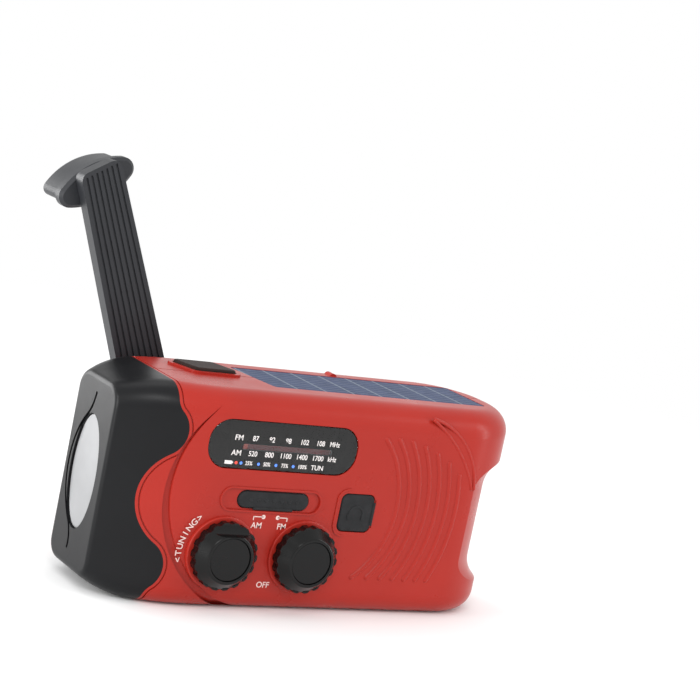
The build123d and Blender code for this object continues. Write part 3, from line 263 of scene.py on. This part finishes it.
def dress_all():
    red = plastic("red_plastic", RED, rough=0.3, mottle=0.05, depth=0.000012, gloss=0.22)
    black = plastic("black_plastic", BLACK, rough=0.36, grain=1300.0, mottle=0.18, gloss=0.2)
    knob = plastic("knob_plastic", (0.0038, 0.0039, 0.0039), rough=0.2, mottle=0.1, depth=0.000006, gloss=0.24)
    arm = plastic("arm_plastic", (0.022, 0.0235, 0.027), rough=0.44, grain=1500.0, mottle=0.15, gloss=0.32)
    cap = plastic("cap_plastic", (0.0045, 0.0046, 0.0048), rough=0.26, mottle=0.08, depth=0.000006, gloss=0.22)
    steel = metal("nickel_steel", (0.62, 0.61, 0.59), 0.32)
    dress(red, "front_shell", "rear_shell")
    dress(black, "head_cap", "battery_door")
    dress(knob, "tuning_knob", "volume_knob")
    dress(arm, "crank_arm", "crank_grip", "crank_hub")
    dress(cap, "tuning_knob_cap", "volume_knob_cap")
    dress(frosted("lens_plastic"), "torch_lens")
    dress(clear("window_plastic", tint=(0.8, 0.81, 0.83), gloss=0.1), "dial_window")
    dress(solar_material(), "solar_cell", "solar_cover")
    dress(rubber("cover_rubber", (0.013, 0.0135, 0.0145)), "usb_cover", "earphone_cover")
    dress(rubber("button_rubber", (0.02, 0.0115, 0.01), rough=0.6, gloss=0.08), "light_button")
    dress(metal("reflector_plating", (0.88, 0.88, 0.89), 0.12, brush=(300, 300, 300)), "torch_reflector")
    dress(glow("led_epoxy", (0.9, 0.88, 0.72), 0.15), "torch_leds")
    dress(ink("dial_print", (0.012, 0.012, 0.013)), "dial_plate")
    dress(ink("dial_red", (0.3, 0.006, 0.012)), "dial_backing")
    dress(ink("needle_red", (0.8, 0.06, 0.03)), "dial_needle")
    dress(metal("aerial_chrome", (0.78, 0.78, 0.79), 0.14, brush=(20, 900, 900)),
          "aerial_base", "aerial_middle", "aerial_tip")
    dress(steel, "aerial_bracket", "battery_door_screw", "board_screws", "case_screws", "cord_posts",
          "crank_bearing", "crank_hinge_pin", "grip_axle", "micro_usb_socket", "usb_socket", "step_gear_pin",
          "tuning_shaft", "volume_shaft", "battery_clips", "tuning_capacitor", "volume_pot")
    dress(plastic("acetal", (0.62, 0.59, 0.5), rough=0.35), "crank_gear", "step_gear", "gearbox_frame",
          "earphone_jack", "lamp_switch")
    dress(plastic("solder_mask", (0.012, 0.1, 0.04), rough=0.3, mottle=0.25), "main_board", "torch_board")
    dress(plastic("chip_epoxy", (0.02, 0.02, 0.02), rough=0.5), "board_chips", "speaker_cone")
    dress(plastic("cell_wrap", (0.05, 0.14, 0.35), rough=0.25), "battery_cell")
    dress(metal("zinc", (0.42, 0.42, 0.43), 0.45), "generator_case", "rotor", "speaker_frame")
    dress(plastic("ferrite", (0.05, 0.05, 0.052), rough=0.6), "ferrite_rod")
    dress(windings("litz", (0.6, 0.25, 0.1), 0.0004, "X"), "ferrite_coil")
    dress(windings("enamel", (0.6, 0.25, 0.1), 0.0005, "Y"), "stator_coil")
    dress(rubber("cord_braid", (0.5, 0.46, 0.36)), "dial_cord")
    dress(glow("pipe_epoxy", (0.5, 0.6, 0.9), 0.05), "charge_leds")


def smooth_nodes():
    """Shade the carried-over pieces smooth between their sharp edges."""
    for node in frame["nodes"].values():
        modifier = node.modifiers.new("crisp", "EDGE_SPLIT")
        modifier.split_angle = math.radians(28)
        for polygon in node.data.polygons:
            polygon.use_smooth = True


# ------------------------------------------------------------ printed labels

def front_turn():
    """The rotation that lays a text, drawn in X and Y, on the front face, read from -Y."""
    return Matrix.Rotation(math.radians(90), 4, "X")


def label(text, x, z, size, y, material, body="casing", angle=0.0, squeeze=1.0, bold=0.0):
    """One line of printed text, centred at x and z (mm) on the plane y (mm)."""
    curve = bpy.data.curves.new("label", "FONT")
    curve.body, curve.size = text, size * MM
    curve.align_x, curve.align_y = "CENTER", "CENTER"
    curve.extrude, curve.offset = 0.012 * MM, bold * MM
    made = bpy.data.objects.new("label", curve)
    scene.collection.objects.link(made)
    mesh = bpy.data.meshes.new_from_object(made)
    bpy.data.objects.remove(made)
    turn = Matrix.Translation(Vector((x, y, z)) * MM) @ front_turn()
    turn = turn @ Matrix.Rotation(math.radians(angle), 4, "Z") @ Matrix.Diagonal((squeeze, 1, 1, 1))
    mesh.transform(turn)
    word = "".join(c for c in text if c.isalnum()) or "mark"
    piece = bpy.data.objects.new(f"print_{word}_{len(bpy.data.objects)}", mesh)
    scene.collection.objects.link(piece)
    piece.data.materials.append(material)
    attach(piece, body)
    return piece


def outline_piece(name, points, y, material, thick=0.024):
    """A thin flat printed shape on the front, from corner points (x, z) in mm."""
    count = len(points)
    corners = [Vector((x, y, z)) * MM for x, z in points]
    corners += [Vector((x, y - thick, z)) * MM for x, z in points]
    faces = [tuple(range(count)), tuple(reversed(range(count, 2 * count)))]
    faces += [(i, i + count, (i + 1) % count + count, (i + 1) % count) for i in range(count)]
    mesh = bpy.data.meshes.new(name)
    mesh.from_pydata(corners, [], faces)
    mesh.materials.append(material)
    piece = bpy.data.objects.new(name, mesh)
    scene.collection.objects.link(piece)
    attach(piece, "casing")
    return piece


def disc_points(x, z, r, count=24):
    return [(x + r * math.cos(2 * math.pi * i / count), z + r * math.sin(2 * math.pi * i / count))
            for i in range(count)]


def bar_points(x, z, w, h):
    return [(x - w / 2, z - h / 2), (x + w / 2, z - h / 2), (x + w / 2, z + h / 2), (x - w / 2, z + h / 2)]


def dial_print():
    """The scale on the dial window: two bands of numbers and a row for the charge lamps, whose dots are printed
    marks given a painted glow.
    """
    (x0, y0, z0), (x1, _, z1) = [Vector(c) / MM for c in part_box("dial_window")]
    white = ink("print_white", INK)
    y, width, tall = y0 - 0.012, x1 - x0, z1 - z0
    rows = {"FM": (0.632, ("87", "92", "98", "102", "108"), "MHz"),
            "AM": (0.322, ("520", "800", "1100", "1400", "1700"), "kHz")}
    for band, (share, numbers, unit) in rows.items():
        z = z0 + tall * share
        label(band, x0 + width * 0.188, z, 2.1, y, white, bold=0.02)
        for i, number in enumerate(numbers):
            label(number, x0 + width * (0.297 + 0.11 * i), z, 2.0, y, white, squeeze=0.9, bold=0.02)
        label(unit, x0 + width * 0.835, z, 1.95, y, white, squeeze=0.85, bold=0.02)
    z = z0 + tall * 0.125
    battery_icon(x0 + width * 0.146, z, y, white)
    # The charge-lamp dots are flat printed marks made to glow (emission 0.5): painted glow, not lit lamps.
    lamps = {"red": (0.8, 0.06, 0.04), "blue": (0.08, 0.22, 0.85)}
    painted_glow = {name: glow(f"lamp_{name}", colour, 0.5) for name, colour in lamps.items()}
    outline_piece("lamp_mark_red", disc_points(x0 + width * 0.198, z, 0.42), y, painted_glow["red"])
    for i, percent in enumerate(("25%", "50%", "75%", "100%")):
        x = x0 + width * (0.23 + 0.117 * i)
        outline_piece(f"lamp_mark_{i}", disc_points(x, z, 0.42), y, painted_glow["blue"])
        label(percent, x + 2.4 + 0.15 * i, z, 1.55, y, white, squeeze=0.84, bold=0.02)
    label("TUN", x0 + width * 0.745, z, 1.9, y, white, bold=0.02)


def battery_icon(x, z, y, material):
    outline_piece("battery_mark", bar_points(x, z, 2.2, 0.95), y, material)
    outline_piece("battery_mark_nose", bar_points(x + 1.28, z, 0.32, 0.45), y, material)


def front_labels():
    """Words round the knobs, printed on the red front."""
    (x0, y0, z0), (x1, _, z1) = [Vector(c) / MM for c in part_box("tuning_knob")]
    (u0, _, _), (u1, _, _) = [Vector(c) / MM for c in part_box("volume_knob")]
    pale = ink("print_pale", (0.82, 0.62, 0.58))
    tune_x, vol_x, knob_z = (x0 + x1) / 2, (u0 + u1) / 2, (z0 + z1) / 2
    y = face_y() - 0.012
    radius, first, step = 12.4, 191.0, -8.6
    for i, letter in enumerate("<TUNING>"):
        angle = first + step * i
        x = tune_x + radius * math.cos(math.radians(angle))
        z = knob_z + radius * math.sin(math.radians(angle))
        label(letter, x, z, 2.5, y, pale, angle=angle - 90, bold=0.03)
    middle = (tune_x + vol_x) / 2
    label("OFF", middle + 2.4, knob_z - 8.5, 2.3, y, pale, bold=0.03)
    for band, side in (("AM", -1), ("FM", 1)):
        x = middle + 0.7 + side * 3.9
        label(band, x, knob_z + 8.1, 2.3, y, pale, bold=0.03)
        dot, end, z = x - side * 1.7, x + side * 1.3, knob_z + 10.6
        outline_piece(f"{band}_dot", disc_points(dot, z, 0.6), y, pale)
        outline_piece(f"{band}_line", bar_points((dot + end) / 2, z, abs(end - dot), 0.26), y, pale)
        outline_piece(f"{band}_end", bar_points(end, z - 0.45, 0.26, 1.1), y, pale)


def face_y():
    """The flat front face, from the origin's depth: half the casing."""
    return -22.0


# ------------------------------------------------------------ set, lights and camera

def studio():
    """A pale round floor that fades into an even white surround."""
    bpy.ops.mesh.primitive_circle_add(vertices=96, radius=FLOOR_R, fill_type="TRIFAN")
    floor = bpy.context.object
    floor.name = "studio_floor"
    floor.location.z = -0.0002
    n = Nodes("studio_paper")
    distance = n.add("ShaderNodeVectorMath")
    distance.operation = "LENGTH"
    n.join(n.place, distance.inputs[0])
    n.join(n.spread(distance.outputs["Value"], 0.16, FLOOR_R * 0.8, 1.0, 0.0), n.shader.inputs["Alpha"])
    n.set(Base_Color=(0.93, 0.93, 0.93, 1), Roughness=0.95, Specular_IOR_Level=0.1)
    floor.data.materials.append(n.material)
    world = bpy.data.worlds.new("studio")
    scene.world = world
    world.use_nodes = True
    world.node_tree.nodes["Background"].inputs["Color"].default_value = (1, 1, 1, 1)
    world.node_tree.nodes["Background"].inputs["Strength"].default_value = 1.0


def lamp(name, where, target, size, power, tint=(1, 1, 1)):
    light = bpy.data.lights.new(name, "AREA")
    light.shape, light.size, light.size_y = "RECTANGLE", size[0], size[1]
    light.energy, light.color = power, tint
    piece = bpy.data.objects.new(name, light)
    piece.location = where
    piece.rotation_euler = (Vector(target) - Vector(where)).to_track_quat("-Z", "Y").to_euler()
    scene.collection.objects.link(piece)
    return piece


def lights():
    middle = (0.0, 0.0, 0.04)
    lamp("key", (-0.5, -0.8, 0.8), middle, (0.5, 0.35), 3.6)
    lamp("left", (-1.0, -0.12, 0.2), middle, (0.3, 0.7), 6.0)
    lamp("end", (-0.5, 0.72, 0.12), middle, (0.45, 0.5), 4.6)
    lamp("top", (-0.1, 0.3, 1.0), middle, (0.6, 0.3), 0.8)
    lamp("strip", (0.75, -0.5, 0.3), middle, (0.08, 0.8), 2.5)


def camera():
    az, el, roll = (math.radians(a) for a in (AZIMUTH, ELEVATION, ROLL))
    back = Vector((math.sin(az) * math.cos(el), -math.cos(az) * math.cos(el), math.sin(el)))
    right = Vector((math.cos(az), math.sin(az), 0))
    up = back.cross(right)
    turned_right = right * math.cos(roll) + up * math.sin(roll)
    turned_up = up * math.cos(roll) - right * math.sin(roll)
    data = bpy.data.cameras.new("camera")
    data.lens, data.sensor_width = LENS, 36.0
    data.clip_start = 0.01
    eye = bpy.data.objects.new("camera", data)
    spin = Matrix((turned_right, turned_up, back)).transposed().to_4x4()
    eye.matrix_world = Matrix.Translation(AIM + back * DISTANCE) @ spin
    scene.collection.objects.link(eye)
    scene.camera = eye


camera()
studio()
lights()
dress_all()
smooth_nodes()
dial_print()
front_labels()
